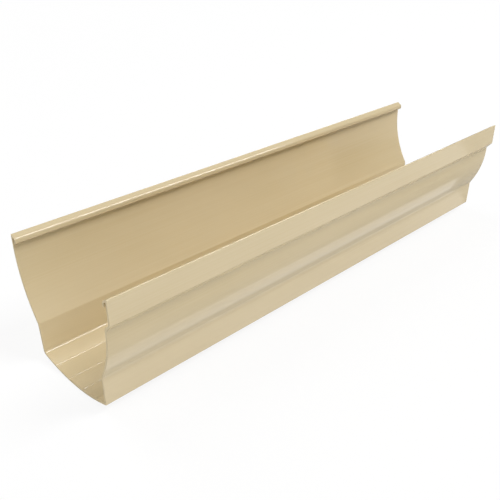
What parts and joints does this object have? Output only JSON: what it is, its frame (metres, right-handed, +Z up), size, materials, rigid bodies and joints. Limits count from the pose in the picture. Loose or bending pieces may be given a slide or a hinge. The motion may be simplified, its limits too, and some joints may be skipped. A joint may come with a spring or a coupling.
{
  "type": "gutter section",
  "caption": "Length of moulded-front house gutter: curved back wall, stepped and rounded front, shallow arched floor, hooked rims along both open edges.",
  "frame": {"origin": "bottom centre of the whole piece: mid width, mid length, on the lowest line of the underside", "axes": "+Y along the gutter, +X from the back wall towards the moulded front, +Z up"},
  "size_m": [0.15, 0.591, 0.1246],
  "materials": {
    "pvc": "sand beige extruded PVC-U, smooth, semi-gloss"
  },
  "bodies": {
    "root": {"gutter_profile": "pvc"}
  },
  "joints": []
}
